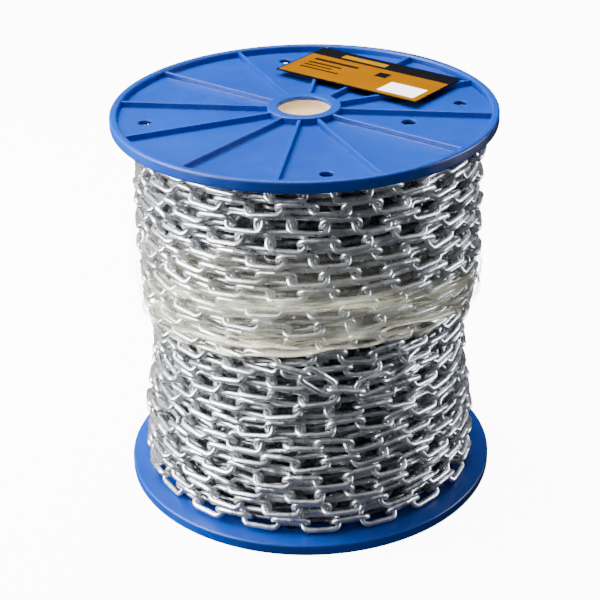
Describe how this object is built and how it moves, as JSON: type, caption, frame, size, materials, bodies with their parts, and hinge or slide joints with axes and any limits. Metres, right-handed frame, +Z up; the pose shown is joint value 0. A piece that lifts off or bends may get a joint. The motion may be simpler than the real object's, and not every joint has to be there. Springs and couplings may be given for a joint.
{
  "type": "reel of steel chain",
  "caption": "Moulded plastic reel wound full with bright short-link steel chain, held by a band of stretch film, with a plain label on the upper flange.",
  "frame": {"origin": "on the floor, at the centre of the lower flange", "axes": "+Z up along the reel's axis, -Y towards the side the picture shows"},
  "size_m": [0.205, 0.205, 0.214],
  "materials": {
    "blue_plastic": "satin moulded",
    "tube_board": "plain",
    "zinc_plated_steel": "bright zinc",
    "clear_film": "clear film",
    "label_paper": "printed, satin"
  },
  "bodies": {
    "root": {"upper_flange": "blue_plastic", "lower_flange": "blue_plastic", "core_tube": "tube_board", "chain_inner_layers": "zinc_plated_steel", "chain_outer_layer": "zinc_plated_steel", "stretch_film": "clear_film", "label": "label_paper"}
  },
  "joints": []
}
